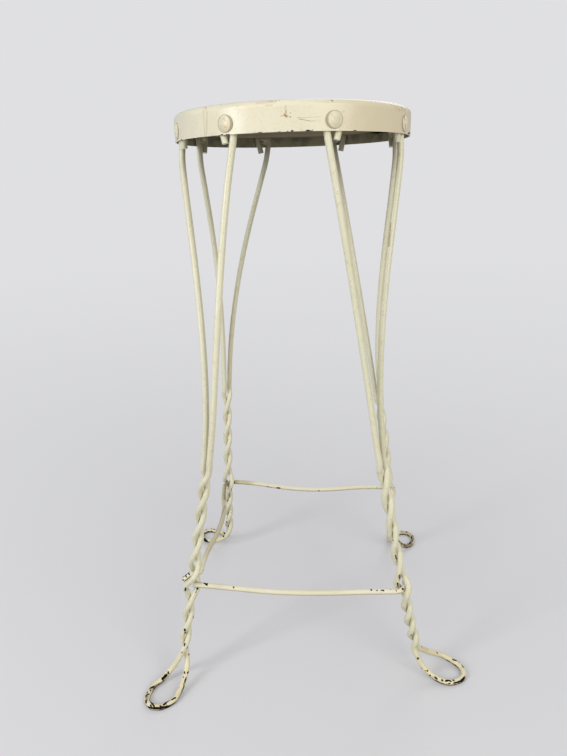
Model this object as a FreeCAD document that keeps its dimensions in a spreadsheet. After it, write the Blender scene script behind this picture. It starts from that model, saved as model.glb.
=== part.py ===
import FreeCAD
import Part
import math
import os
import Sketcher

# Stool of painted steel wire: a round board seat in a sheet band, four legs that are each one
# doubled and twisted wire, and one wire rung ring threaded through the legs.
# Millimetres, +Z up, floor at zero. An angle of zero looks towards the front (-Y) and a growing
# angle turns towards +X.

LEGS = ("front_left", "front_right", "back_right", "back_left")

SIZES = [
    # Seat band: a strip bent round, its top edge rolled in over the board
    ("seat_centre_x", -14.8),
    ("seat_centre_y", -2.7),
    ("seat_height", 777.0),
    ("seat_radius", 150.0),
    ("band_height", 31.5),
    ("band_thickness", 1.5),
    ("curl_radius", 7.0),
    ("lip_reach", 12.0),
    ("seam_angle", -35.5),
    ("seam_gap", 0.3),
    ("notch_width", 3.4),
    ("notch_depth", 2.6),
    # Seat board: its rim rests on the wire eyes, and its full thickness drops inside them
    ("board_gap", 0.3),
    ("board_thickness", 17.2),
    ("board_edge_radius", 1.5),
    ("board_side_clearance", 1.2),
    # Rivets and the washers behind the wire eyes
    ("rivet_rise", 11.0),
    ("rivet_head_diameter", 17.6),
    ("rivet_head_height", 2.9),
    ("rivet_head_edge", 0.6),
    ("rivet_shank_diameter", 4.8),
    ("rivet_hole_clearance", 0.15),
    ("rivet_tail_diameter", 8.6),
    ("rivet_tail_height", 2.0),
    ("rivet_seat_gap", 0.15),
    ("washer_diameter", 16.0),
    ("washer_thickness", 1.2),
    # Leg wire: its eye over the rivet, its strand down from the band, its twist and its toe
    ("leg_wire_diameter", 8.0),
    ("eye_band_gap", 0.8),
    ("eye_shank_gap", 0.3),
    ("eye_offset", 1.8),
    ("stub_drop", 8.5),
    ("stub_slant_angle", 13.0),
    ("strand_slant_angle", 8.5),
    ("strand_splay_angle", 8.3),
    ("strand_lead", 10.0),
    ("strand_lead_out", 0.8),
    ("twist_gap", 0.8),
    ("waist_gap", 2.6),
    ("waist_height", 345.0),
    ("ring_height", 156.0),
    ("ring_corner_radius", 203.2),
    ("ring_pass_gap", 1.7),
    ("ring_eye_half_length", 25.0),
    ("twist_end_height", 53.5),
    ("foot_flat_depth", 0.5),
    # Rung ring: it starts in the eye of the front left leg and ends in a hook above its start
    ("ring_wire_diameter", 7.5),
    ("rung_sag", 7.0),
    ("front_rung_bow", 4.0),
    ("right_rung_bow", 0.0),
    ("back_rung_bow", 0.0),
    ("left_rung_bow", -9.0),
    ("ring_bend_radius", 17.0),
    ("ring_start_side", 3.0),
    ("ring_hook_rise", 16.0),
    ("ring_hook_radius", 10.0),
    ("ring_hook_angle", -85.0),
    ("ring_tail_length", 17.0),
    ("ring_tail_angle", -85.0),
    ("ring_tail_droop_angle", 30.0),
    # Hand bends of each leg
    ("front_left_low_rivet_angle", -63.5),
    ("front_left_high_rivet_angle", -23.4),
    ("front_left_low_strand_bow", 0.3),
    ("front_left_high_strand_bow", 5.5),
    ("front_left_waist_angle", -32.9),
    ("front_left_waist_radius", 194.0),
    ("front_left_ring_angle", -44.7),
    ("front_left_foot_angle", -45.6),
    ("front_left_foot_radius", 223.5),
    ("front_left_last_turn_angle", 1290.0),
    ("front_left_toe_angle", -32.0),
    ("front_left_toe_length", 71.0),
    ("front_left_toe_half_width", 21.0),
    ("front_left_low_toe_lift", 0.0),
    ("front_left_high_toe_lift", 0.0),
    ("front_right_low_rivet_angle", 22.0),
    ("front_right_high_rivet_angle", 66.8),
    ("front_right_low_strand_bow", 0.5),
    ("front_right_high_strand_bow", -1.0),
    ("front_right_waist_angle", 42.9),
    ("front_right_waist_radius", 177.0),
    ("front_right_ring_angle", 49.6),
    ("front_right_ring_rise", -2.5),
    ("front_right_foot_angle", 55.0),
    ("front_right_foot_radius", 216.0),
    ("front_right_last_turn_angle", 1420.0),
    ("front_right_toe_angle", 90.0),
    ("front_right_toe_length", 73.0),
    ("front_right_toe_half_width", 20.5),
    ("front_right_low_toe_lift", 0.0),
    ("front_right_high_toe_lift", 16.0),
    ("back_right_low_rivet_angle", 110.6),
    ("back_right_high_rivet_angle", 157.0),
    ("back_right_low_strand_bow", -1.5),
    ("back_right_high_strand_bow", 0.5),
    ("back_right_waist_angle", 126.3),
    ("back_right_waist_radius", 159.5),
    ("back_right_ring_angle", 130.6),
    ("back_right_ring_rise", 2.5),
    ("back_right_foot_angle", 133.9),
    ("back_right_foot_radius", 226.0),
    ("back_right_last_turn_angle", 1335.0),
    ("back_right_toe_angle", 148.0),
    ("back_right_toe_length", 77.0),
    ("back_right_toe_half_width", 21.0),
    ("back_right_low_toe_lift", 0.0),
    ("back_right_high_toe_lift", 1.5),
    ("back_left_low_rivet_angle", 202.2),
    ("back_left_high_rivet_angle", 248.5),
    ("back_left_low_strand_bow", 3.5),
    ("back_left_high_strand_bow", 4.5),
    ("back_left_waist_angle", 224.8),
    ("back_left_waist_radius", 195.5),
    ("back_left_ring_angle", 226.2),
    ("back_left_ring_rise", 0.0),
    ("back_left_foot_angle", 225.0),
    ("back_left_foot_radius", 217.5),
    ("back_left_last_turn_angle", 1330.0),
    ("back_left_toe_angle", 233.0),
    ("back_left_toe_length", 79.0),
    ("back_left_toe_half_width", 19.5),
    ("back_left_low_toe_lift", 0.0),
    ("back_left_high_toe_lift", 5.0),
    # Length by which cuts pass the faces that they cut
    ("overrun", 2.0),
]

# Shares of a strand's length that pull on its curve at the band and at the waist
TOP_PULL_SHARE = 0.35
WAIST_PULL_SHARE = 1.3
STRAND_SPAN_COUNT = 5

# The twist counts quarter turns down from the waist: eight to the eye for the ring, two along
# the eye, and below it six equal steps to the last turn of each leg
QUARTER_ANGLE = 90.0
UPPER_QUARTER_COUNT = 8
EYE_QUARTER_COUNT = 2
LOWER_STEP_COUNT = 6
LATERAL_ANGLE = 1440.0

# The reach of the floor's cut in seat radii
FLOOR_CUT_SHARE = 4

# Shares of the toe's length, drop, half width, untwisting and lift, from the end of the twist
# to the widest place of the toe
TOE_SHARES = (
    (0.06, 0.64, 0.10, 0.55, 0.25),
    (0.20, 0.30, 0.42, 0.90, 0.70),
    (0.42, 0.07, 0.80, 1.00, 0.78),
    (0.66, 0.00, 1.00, 1.00, 0.45),
)

doc = FreeCAD.newDocument("wire_stool")
sheet = doc.addObject("Spreadsheet::Sheet", "sizes")
for row, (alias, value) in enumerate(SIZES, start=1):
    sheet.set("A%d" % row, alias)
    sheet.set("B%d" % row, str(value))
    sheet.setAlias("B%d" % row, alias)
doc.recompute()


def size(alias):
    return float(getattr(sheet, alias))


# Directions and places

UP = FreeCAD.Vector(0, 0, 1)


def outward(angle):
    turn = math.radians(angle)
    return FreeCAD.Vector(math.sin(turn), -math.cos(turn), 0)


def sideways(angle):
    turn = math.radians(angle)
    return FreeCAD.Vector(math.cos(turn), math.sin(turn), 0)


def unit(vector):
    result = FreeCAD.Vector(vector)
    result.normalize()
    return result


def place(radius, angle, height):
    centre = FreeCAD.Vector(size("seat_centre_x"), size("seat_centre_y"), height)
    return centre + outward(angle) * radius


def leg_radius():
    return size("leg_wire_diameter") / 2


def close_spread():
    """Half the distance between the strands of a tight twist."""
    return leg_radius() + size("twist_gap") / 2


def eye_spread():
    """The distance between the middles of a strand and of the ring that passes it."""
    return leg_radius() + size("ring_wire_diameter") / 2 + size("ring_pass_gap")


def band_bottom():
    return size("seat_height") - size("band_height")


def rivet_angle(leg, side):
    return size(leg + ("_low_rivet_angle" if side < 0 else "_high_rivet_angle"))


# Wires: a tube along arcs that join tangentially. A station is a point and a direction.

DIAMETER_SPOT_COUNT = 5
APART_DIAMETER_COUNT = 4
STRAIGHT_TOLERANCE = 1e-7

def arc_edge(start, direction, end):
    chord = end - start
    normal = chord - direction * chord.dot(direction)
    if normal.Length < STRAIGHT_TOLERANCE:
        return Part.LineSegment(start, end).toShape()
    centre = start + normal * (chord.dot(chord) / (2 * normal.dot(chord)))
    middle = unit((start - centre) + (end - centre)) * (start - centre).Length
    return Part.Arc(start, centre + middle, end).toShape()


def biarc_edges(first, second):
    """Two arcs that join two stations."""
    start, out = first
    end, back = second
    chord = end - start
    pull = chord.dot(out + back)
    spread = 2 * (1 - out.dot(back))
    if spread < STRAIGHT_TOLERANCE:
        reach = chord.dot(chord) / (4 * chord.dot(back))
    else:
        reach = (math.sqrt(pull * pull + spread * chord.dot(chord)) - pull) / spread
    joint = (start + end + (out - back) * reach) * 0.5
    middle = unit((end - back * reach) - (start + out * reach))
    return [arc_edge(start, out, joint), arc_edge(joint, middle, end)]


def wire_path(stations):
    edges = []
    for first, second in zip(stations, stations[1:]):
        edges += biarc_edges(first, second)
    return Part.Wire(edges)


def least_gap_to_itself(path, diameter):
    """Measured on points of the wire's middle, between stretches that lie apart along it."""
    spots = path.discretize(Number=int(DIAMETER_SPOT_COUNT * path.Length / diameter))
    least = path.Length
    for index, spot in enumerate(spots):
        for other in spots[index + DIAMETER_SPOT_COUNT * APART_DIAMETER_COUNT:]:
            if abs(spot.z - other.z) < least:
                least = min(least, spot.distanceToPoint(other))
    return least - diameter


def make_wire(name, stations, diameter):
    path = wire_path(stations)
    start, direction = stations[0]
    section = Part.Wire([Part.makeCircle(diameter / 2, start, direction)])
    solid = path.makePipeShell([section], True, False)
    share = solid.Volume / (path.Length * math.pi * diameter**2 / 4)
    print("%s: %.0f long, volume %.5f of its section times its length, least gap to itself %.2f"
          % (name, path.Length, share, least_gap_to_itself(path, diameter)))
    return solid


# Leg wires


def leg_axis(leg, height):
    """The middle of the twist at a height and its direction down: a parabola through three
    places of the leg."""
    ladder = (
        (size("waist_height"), place(size(leg + "_waist_radius"), size(leg + "_waist_angle"), 0)),
        (size("ring_height"), place(size("ring_corner_radius"), size(leg + "_ring_angle"), 0)),
        (size("twist_end_height"), place(size(leg + "_foot_radius"), size(leg + "_foot_angle"), 0)),
    )
    point = UP * height
    slope = FreeCAD.Vector(UP)
    for index, (own, spot) in enumerate(ladder):
        low, high = [step[0] for other, step in enumerate(ladder) if other != index]
        scale = (own - low) * (own - high)
        point += spot * ((height - low) * (height - high) / scale)
        slope += spot * ((2 * height - low - high) / scale)
    return point, unit(slope * -1)


def across(direction, side_axis, turn):
    """A unit step square to a direction, turned about it from the side axis."""
    angle = math.radians(turn)
    first = unit(side_axis - direction * side_axis.dot(direction))
    return first * math.cos(angle) + direction.cross(first) * math.sin(angle)


def hook_height():
    """The height at which the ring's tail passes through the front left leg."""
    return size("ring_height") + size("ring_hook_rise")


def swell(height, low, high, reach, gain):
    """A smooth gain between two heights that fades over a reach beyond them, and its change
    with the height."""
    away = max(height - high, low - height, 0)
    if away >= reach:
        return 0, 0
    swing = math.pi * away / reach
    growth = gain / 2 * math.sin(swing) * math.pi / reach
    return gain / 2 * (1 + math.cos(swing)), math.copysign(growth, high - height)


def opening(leg, height):
    """Half the distance between the strands and its change with the height: the twist opens
    round the ring, in the front left leg round the ring's tail too, and a little at the waist."""
    ring = size("ring_height")
    top = hook_height() if leg == LEGS[0] else ring
    gain = eye_spread() - close_spread()
    eye, eye_growth = swell(height, ring, top, size("ring_eye_half_length"), gain)
    waist = size("waist_height")
    gap, gap_growth = swell(height, waist, waist, first_quarter(), size("waist_gap") / 2)
    return close_spread() + eye + gap, eye_growth + gap_growth


def first_quarter():
    """The height that the first quarter turn below the waist takes."""
    length = size("waist_height") - size("ring_height") - size("ring_eye_half_length")
    return length / UPPER_QUARTER_COUNT


def turn_ladder(leg):
    """Heights and turns between which the twist runs evenly."""
    half = size("ring_eye_half_length")
    return (
        (size("waist_height"), 0),
        (size("ring_height") + half, QUARTER_ANGLE * UPPER_QUARTER_COUNT),
        (size("ring_height") - half, QUARTER_ANGLE * (UPPER_QUARTER_COUNT + EYE_QUARTER_COUNT)),
        (size("twist_end_height"), size(leg + "_last_turn_angle")),
    )


def turn_at(leg, height):
    ladder = turn_ladder(leg)
    for (above, first), (below, last) in zip(ladder, ladder[1:]):
        if height >= below:
            break
    return first + (last - first) * (above - height) / (above - below)


def twist_station(leg, side, height, rate=0):
    point, down = leg_axis(leg, height)
    spread, growth = opening(leg, height)
    side_axis = sideways(size(leg + "_ring_angle"))
    turn = turn_at(leg, height)
    step = across(down, side_axis, turn) * side
    drift = across(down, side_axis, turn + QUARTER_ANGLE) * side
    way = down + step * (growth * down.z) + drift * (spread * math.radians(rate))
    return point + step * spread, unit(way)


def twist_heights(leg):
    """Heights of even turns from the waist to the foot of the twist, with one more where the
    turning starts and one at the hook."""
    ladder = turn_ladder(leg)
    counts = (UPPER_QUARTER_COUNT, EYE_QUARTER_COUNT, LOWER_STEP_COUNT)
    heights = [ladder[-1][0]]
    for (above, _), (below, _), steps in zip(ladder, ladder[1:], counts):
        heights += [above + (below - above) * count / steps for count in range(steps)]
    if leg == LEGS[0]:
        heights.append(hook_height())
    heights.append(size("waist_height") - first_quarter() / 2)
    return sorted(heights, reverse=True)


def twist_stations(leg, side):
    """A strand turns at half its rate at the waist, and elsewhere at the mean of what is near."""
    heights = twist_heights(leg)
    half_rate = (turn_at(leg, heights[1]) - turn_at(leg, heights[0])) / (heights[0] - heights[1]) / 2
    stations = [twist_station(leg, side, heights[0], half_rate)]
    for before, height, after in zip(heights, heights[1:], heights[2:] + heights[-1:]):
        rate = (turn_at(leg, after) - turn_at(leg, before)) / (before - after)
        stations.append(twist_station(leg, side, height, rate))
    return stations


def eye_stations(leg, side):
    """The stub below the band, the eye over the rivet and the start of the strand."""
    angle = rivet_angle(leg, side)
    to_leg = sideways(angle) * -side
    plane = size("seat_radius") - size("band_thickness") - size("eye_band_gap") - leg_radius()
    radius = size("rivet_shank_diameter") / 2 + leg_radius() + size("eye_shank_gap") + size("eye_offset")
    centre = place(plane, angle, band_bottom() + size("rivet_rise")) + to_leg * size("eye_offset")

    def on_eye(turn):
        swing = math.radians(turn)
        point = centre + (to_leg * math.cos(swing) + UP * math.sin(swing)) * radius
        return point, UP * math.cos(swing) - to_leg * math.sin(swing)

    stub_top, rising = on_eye(-size("stub_slant_angle"))
    stub_length = (stub_top.z - band_bottom() + size("stub_drop")) / rising.z
    crown = on_eye(QUARTER_ANGLE)
    shoulder, falling = on_eye(2 * QUARTER_ANGLE + size("strand_slant_angle"))
    fall = (band_bottom() - size("strand_lead") - shoulder.z) / falling.z
    splay = math.tan(math.radians(size("strand_splay_angle")))
    lead = shoulder + falling * fall + outward(angle) * size("strand_lead_out")
    return [(stub_top - rising * stub_length, rising), (stub_top, rising), crown,
            (shoulder, falling), (lead, unit(falling + outward(angle) * splay))]


def strand_stations(start, end, bow):
    """A cubic between the band and the waist, bowed half way, with a last station a quarter
    turn's height above the waist, below which the strand starts to turn."""
    first, first_way = start
    last, last_way = end
    length = (last - first).Length
    pull_in = first_way * (length * TOP_PULL_SHARE)
    pull_out = last_way * (length * WAIST_PULL_SHARE)
    stations = []
    shares = [count / STRAND_SPAN_COUNT for count in range(1, STRAND_SPAN_COUNT)]
    for t in shares + [1 - first_quarter() / length]:
        point = (first * (2 * t**3 - 3 * t**2 + 1) + pull_in * (t**3 - 2 * t**2 + t)
                 + last * (3 * t**2 - 2 * t**3) + pull_out * (t**3 - t**2)
                 + bow * (16 * t**2 * (1 - t)**2))
        way = (first * (6 * t**2 - 6 * t) + pull_in * (3 * t**2 - 4 * t + 1)
               + last * (6 * t - 6 * t**2) + pull_out * (3 * t**2 - 2 * t)
               + bow * (32 * t * (1 - t) * (1 - 2 * t)))
        stations.append((point, unit(way)))
    return stations


def mean_way(before, point, after):
    """The direction at the middle one of three points: that of the nearer chord counts more."""
    arriving = point - before
    leaving = after - point
    return unit(unit(arriving) * leaving.Length + unit(leaving) * arriving.Length)


def toe_stations(leg, side, twist_end):
    """From the end of the twist, out and down to the floor. Also returns the toe's tip."""
    base = leg_axis(leg, size("twist_end_height"))[0]
    heading = outward(size(leg + "_toe_angle"))
    side_axis = sideways(size(leg + "_toe_angle"))
    floor = leg_radius() - size("foot_flat_depth")
    foot = FreeCAD.Vector(base.x, base.y, floor)
    length = size(leg + "_toe_length")
    widening = size(leg + "_toe_half_width") - close_spread()
    lift = size(leg + ("_low_toe_lift" if side < 0 else "_high_toe_lift"))
    turned = size(leg + "_last_turn_angle") - LATERAL_ANGLE
    turned += size(leg + "_toe_angle") - size(leg + "_ring_angle")
    middle = [base]
    for along, drop, _, _, _ in TOE_SHARES:
        middle.append(foot + heading * (length * along) + UP * ((base.z - floor) * drop))
    middle.append(foot + heading * length)
    points = [twist_end]
    for before, spot, after, shares in zip(middle, middle[1:], middle[2:], TOE_SHARES):
        _, _, width, untwisting, rise = shares
        step = across(unit(after - before), side_axis, turned * (1 - untwisting)) * side
        points.append(spot + step * (close_spread() + widening * width) + UP * (lift * rise))
    stations = []
    for before, point, after in zip(points, points[1:], points[2:] + [middle[-1]]):
        stations.append((point, mean_way(before, point, after)))
    return stations, (middle[-1], side_axis * -side)


def leg_half(leg, side):
    stations = eye_stations(leg, side)
    waist = twist_station(leg, side, size("waist_height"))
    twist = twist_stations(leg, side)
    toe, tip = toe_stations(leg, side, twist[-1][0])
    inward_bow = size(leg + ("_low_strand_bow" if side < 0 else "_high_strand_bow"))
    bow = sideways(size(leg + "_waist_angle")) * (inward_bow * -side)
    return stations + strand_stations(stations[-1], waist, bow) + twist + toe, tip


def leg_stations(leg):
    first, tip = leg_half(leg, -1)
    second, _ = leg_half(leg, 1)
    return first + [tip] + [(point, way * -1) for point, way in reversed(second)]


def worn_flat(solid):
    """A leg wire without what would reach below the floor."""
    reach = FLOOR_CUT_SHARE * size("seat_radius")
    corner = FreeCAD.Vector(-reach, -reach, -size("overrun"))
    return solid.cut(Part.makeBox(2 * reach, 2 * reach, size("overrun"), corner))


# Rung ring


def ring_corner(leg):
    """Where the ring passes between the strands of a leg."""
    return leg_axis(leg, size("ring_height"))[0] + UP * size(leg + "_ring_rise")


def corner_stations(leg, before, after):
    """The ring bends round the inner strand of a leg."""
    bend = size("ring_bend_radius")
    middle = ring_corner(leg)
    radial = outward(size(leg + "_ring_angle"))
    side_way = sideways(size(leg + "_ring_angle"))
    centre = middle - radial * bend
    arrive = unit(middle - before)
    leave = unit(after - middle)
    swing_in = -math.atan2(arrive.dot(radial), arrive.dot(side_way))
    swing_out = math.atan2(-leave.dot(radial), leave.dot(side_way))
    stations = []
    for swing in (swing_in, 0, swing_out):
        step = radial * math.cos(swing) + side_way * math.sin(swing)
        way = side_way * math.cos(swing) - radial * math.sin(swing)
        stations.append((centre + step * bend, way))
    return stations


def hook_stations():
    """The ring's tail bends round the rear strand of the front left leg and droops."""
    bend = size("ring_hook_radius")
    middle = leg_axis(LEGS[0], hook_height())[0]
    arriving = outward(size("ring_hook_angle") + QUARTER_ANGLE)
    leaving = outward(size("ring_hook_angle"))
    centre = middle - arriving * bend
    droop = math.radians(size("ring_tail_droop_angle"))
    tail = outward(size("ring_tail_angle")) * math.cos(droop) - UP * math.sin(droop)
    return [(centre - leaving * bend, arriving),
            (centre + unit(arriving - leaving) * bend, unit(arriving + leaving)),
            (middle, leaving),
            (middle + tail * size("ring_tail_length"), tail)]


def ring_stations():
    start = leg_axis(LEGS[0], size("ring_height"))[0]
    start += sideways(size(LEGS[0] + "_ring_angle")) * size("ring_start_side")
    hook = hook_stations()
    ends = [start] + [ring_corner(leg) for leg in LEGS[1:]] + [hook[0][0]]
    sags = (size("rung_sag"), size("rung_sag"), size("rung_sag"), 0)
    middles = []
    for first, second, sag, rung in zip(ends, ends[1:], sags, ("front", "right", "back", "left")):
        along = unit(second - first)
        bow = unit(along.cross(UP)) * size(rung + "_rung_bow")
        middles.append(((first + second) * 0.5 + bow - UP * sag, along))
    stations = [(start, unit(middles[0][0] - start))]
    for leg, before, after in zip(LEGS[1:], middles, middles[1:]):
        stations.append(before)
        stations += corner_stations(leg, before[0], after[0])
    return stations + [middles[-1]] + hook


# Builders of the document's objects. A length in a sketch is a pair: its number now and the
# formula that it follows.


def bind(item, path, formula):
    item.setExpression(path, formula)


def length_of(formula):
    return (float(sheet.evalExpression(formula)), formula)


ZERO = (0, None)


def body_of(name):
    body = doc.addObject("PartDesign::Body", name)
    body.Label = name
    return body


def stand_at(body, height_formula):
    bind(body, "Placement.Base.x", "sizes.seat_centre_x")
    bind(body, "Placement.Base.y", "sizes.seat_centre_y")
    bind(body, "Placement.Base.z", height_formula)


def sketch_on(body, role, name, turn=0):
    """A sketch on an origin plane, turned about its own upright axis."""
    sketch = body.newObject("Sketcher::SketchObject", name)
    plane = next(item for item in body.Origin.OriginFeatures if item.Role == role)
    sketch.AttachmentSupport = [(plane, "")]
    sketch.MapMode = "FlatFace"
    rotation = FreeCAD.Rotation(FreeCAD.Vector(0, 1, 0), turn)
    sketch.AttachmentOffset = FreeCAD.Placement(FreeCAD.Vector(), rotation)
    return sketch


def fix_point(sketch, index, end, x, y):
    for kind, axis, (number, formula) in (("DistanceX", -2, x), ("DistanceY", -1, y)):
        if formula is None:
            sketch.addConstraint(Sketcher.Constraint("PointOnObject", index, end, axis))
        else:
            row = sketch.addConstraint(Sketcher.Constraint(kind, -1, 1, index, end, number))
            bind(sketch, "Constraints[%d]" % row, formula)


def own_ends(sketch, index, spot):
    """A curve's own numbers for its start at the spot and for its other end."""
    near = (sketch.getPoint(index, 1) - spot).Length < (sketch.getPoint(index, 2) - spot).Length
    return (1, 2) if near else (2, 1)


def closed_outline(sketch, corners, domes=()):
    """Straight lines through the corners, with an arc centred on the axis after each corner
    whose number is in domes."""
    spots = [FreeCAD.Vector(x[0], y[0], 0) for x, y in corners]
    following = spots[1:] + spots[:1]
    for index, (spot, after) in enumerate(zip(spots, following)):
        if index in domes:
            sketch.addGeometry(Part.Arc(spot, dome_middle(spot, after), after))
        else:
            sketch.addGeometry(Part.LineSegment(spot, after))
    ends = [own_ends(sketch, index, spot) for index, spot in enumerate(spots)]
    for index in range(len(corners)):
        after = (index + 1) % len(corners)
        joint = (index, ends[index][1], after, ends[after][0])
        sketch.addConstraint(Sketcher.Constraint("Coincident", *joint))
    for index, (x, y) in enumerate(corners):
        fix_point(sketch, index, ends[index][0], x, y)
    for index in domes:
        sketch.addConstraint(Sketcher.Constraint("PointOnObject", index, 3, -2))


def dome_middle(first, second):
    """The middle of an arc between its crown on the axis and its foot, in either order."""
    crown, foot = (first, second) if abs(first.x) < abs(second.x) else (second, first)
    rise = crown.y - foot.y
    radius = (foot.x**2 + rise**2) / (2 * rise)
    half_turn = math.asin(foot.x / radius) / 2
    return FreeCAD.Vector(radius * math.sin(half_turn), crown.y - radius + radius * math.cos(half_turn), 0)


def add_circle(sketch, radius, height=ZERO):
    """A circle on the sketch's upright axis."""
    index = sketch.addGeometry(Part.Circle(FreeCAD.Vector(0, height[0], 0), UP, radius[0]))
    fix_point(sketch, index, 3, ZERO, height)
    row = sketch.addConstraint(Sketcher.Constraint("Radius", index, radius[0]))
    bind(sketch, "Constraints[%d]" % row, radius[1])


def revolve(body, sketch):
    turned = body.newObject("PartDesign::Revolution", body.Label + "_turned")
    turned.Profile = sketch
    turned.ReferenceAxis = (sketch, ["V_Axis"])
    turned.Angle = 360
    doc.recompute()


def round_edge(body, name, radius, height, fillet_formula):
    """Rounds the body's circular edge that has this radius and height."""
    base = body.Tip
    edges = []
    for number, edge in enumerate(base.Shape.Edges, start=1):
        if isinstance(edge.Curve, Part.Circle):
            miss = abs(edge.Curve.Radius - radius[0]) + abs(edge.Curve.Center.z - height[0])
            if miss < size("seam_gap") / 2:
                edges.append("Edge%d" % number)
    fillet = body.newObject("PartDesign::Fillet", name)
    fillet.Base = (base, edges)
    bind(fillet, "Radius", fillet_formula)
    doc.recompute()


def cut_outward(body, sketch, name):
    """Cuts from the axis out through the band and returns the volume removed."""
    before = body.Shape.Volume
    pocket = body.newObject("PartDesign::Pocket", name)
    pocket.Profile = sketch
    bind(pocket, "Length", "sizes.seat_radius + sizes.overrun")
    pocket.Reversed = True
    doc.recompute()
    return before - body.Shape.Volume


# Seat band

OUTER = length_of("sizes.seat_radius")
INNER = length_of("sizes.seat_radius - sizes.band_thickness")
SHANK_HOLE = length_of("sizes.rivet_shank_diameter / 2 + sizes.rivet_hole_clearance")
LEAST_HOLE_SHARE = 0.9


def make_seat_band():
    body = body_of("seat_band")
    stand_at(body, "sizes.seat_height - sizes.band_height")
    top = length_of("sizes.band_height")
    under = length_of("sizes.band_height - sizes.band_thickness")
    lip = length_of("sizes.seat_radius - sizes.lip_reach")
    section = sketch_on(body, "XZ_Plane", "band_section")
    corners = [(OUTER, ZERO), (OUTER, top), (lip, top), (lip, under), (INNER, under), (INNER, ZERO)]
    closed_outline(section, corners)
    revolve(body, section)
    round_edge(body, "curl_outside", OUTER, top, "sizes.curl_radius")
    round_edge(body, "curl_inside", INNER, under, "sizes.curl_radius - sizes.band_thickness")
    rise = length_of("sizes.rivet_rise")
    slug = math.pi * SHANK_HOLE[0] ** 2 * size("band_thickness")
    for number, angle in rivets():
        hole = sketch_on(body, "XZ_Plane", "rivet_hole_%d" % number, angle)
        add_circle(hole, SHANK_HOLE, rise)
        if cut_outward(body, hole, "drilled_%d" % number) < slug * LEAST_HOLE_SHARE:
            raise RuntimeError("rivet hole %d doesn't go through the band" % number)
    if cut_outward(body, seam_sketch(body), "seam") <= 0:
        raise RuntimeError("the seam cuts nothing")
    return body


def seam_sketch(body):
    """The joint of the strip's ends, with the corners clipped at the top."""
    seam = sketch_on(body, "XZ_Plane", "seam_section", size("seam_angle"))
    half = length_of("sizes.seam_gap / 2")
    other_half = length_of("-sizes.seam_gap / 2")
    notch = length_of("sizes.notch_width / 2")
    other_notch = length_of("-sizes.notch_width / 2")
    foot = length_of("-sizes.overrun")
    low = length_of("sizes.band_height - sizes.notch_depth")
    high = length_of("sizes.band_height + sizes.overrun")
    closed_outline(seam, [(half, foot), (half, low), (notch, high), (other_notch, high),
                          (other_half, low), (other_half, foot)])
    return seam


def rivets():
    """The number and the angle of each rivet, counted round from the front left leg."""
    angles = [rivet_angle(leg, side) for leg in LEGS for side in (-1, 1)]
    return list(enumerate(angles, start=1))


# Seat board

CLINCH = ("sizes.seat_radius - sizes.band_thickness - sizes.eye_band_gap - sizes.leg_wire_diameter"
          " - sizes.washer_thickness - 2 * sizes.rivet_seat_gap")
EYE_TOP = ("sizes.rivet_rise + sizes.rivet_shank_diameter / 2 + sizes.leg_wire_diameter"
           " + sizes.eye_shank_gap + sizes.eye_offset")
BOARD_TOP = "sizes.band_height - sizes.band_thickness - sizes.board_gap"


def make_seat_board():
    body = body_of("seat_board")
    stand_at(body, "sizes.seat_height - sizes.band_height + " + BOARD_TOP + " - sizes.board_thickness")
    core = length_of(CLINCH + " - sizes.rivet_tail_height - sizes.board_side_clearance")
    rim = length_of("sizes.seat_radius - sizes.band_thickness - sizes.board_gap")
    step = length_of("sizes.board_thickness - (" + BOARD_TOP + ") + (" + EYE_TOP + ") + sizes.board_gap")
    top = length_of("sizes.board_thickness")
    section = sketch_on(body, "XZ_Plane", "board_section")
    corners = [(ZERO, ZERO), (core, ZERO), (core, step), (rim, step), (rim, top), (ZERO, top)]
    closed_outline(section, corners)
    revolve(body, section)
    round_edge(body, "rim_round", rim, top, "sizes.curl_radius - sizes.band_thickness - sizes.board_gap")
    round_edge(body, "edge_round", core, ZERO, "sizes.board_edge_radius")
    return body


# Rivets and washers, turned about an axis that points outward through the band


def aim_outward(body, angle):
    stand_at(body, "sizes.seat_height - sizes.band_height + sizes.rivet_rise")
    upright = FreeCAD.Rotation(FreeCAD.Vector(1, 0, 0), QUARTER_ANGLE)
    turn = FreeCAD.Rotation(UP, angle).multiply(upright)
    body.Placement = FreeCAD.Placement(body.Placement.Base, turn)


def make_rivet(name, angle):
    body = body_of(name)
    aim_outward(body, angle)
    shank = length_of("sizes.rivet_shank_diameter / 2")
    head = length_of("sizes.rivet_head_diameter / 2")
    tail = length_of("sizes.rivet_tail_diameter / 2")
    seat = length_of("sizes.seat_radius + sizes.rivet_seat_gap")
    edge = length_of("sizes.seat_radius + sizes.rivet_seat_gap + sizes.rivet_head_edge")
    crown = length_of("sizes.seat_radius + sizes.rivet_seat_gap + sizes.rivet_head_height")
    clinch = length_of(CLINCH)
    end = length_of(CLINCH + " - sizes.rivet_tail_height")
    section = sketch_on(body, "XZ_Plane", name + "_section")
    corners = [(ZERO, end), (ZERO, crown), (head, edge), (head, seat), (shank, seat), (shank, clinch),
               (tail, clinch)]
    closed_outline(section, corners, domes=(1, 6))
    revolve(body, section)
    return body


def make_washer(name, angle):
    body = body_of(name)
    aim_outward(body, angle)
    face = sketch_on(body, "XY_Plane", name + "_face")
    add_circle(face, length_of("sizes.washer_diameter / 2"))
    add_circle(face, SHANK_HOLE)
    bind(face, "AttachmentOffset.Base.z", CLINCH + " + sizes.rivet_seat_gap")
    disc = body.newObject("PartDesign::Pad", name + "_disc")
    disc.Profile = face
    bind(disc, "Length", "sizes.washer_thickness")
    doc.recompute()
    return body


# Assembly


def feature_of(name, shape):
    item = doc.addObject("Part::Feature", name)
    item.Label = name
    item.Shape = shape
    item.Placement = FreeCAD.Placement()
    return item


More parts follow.
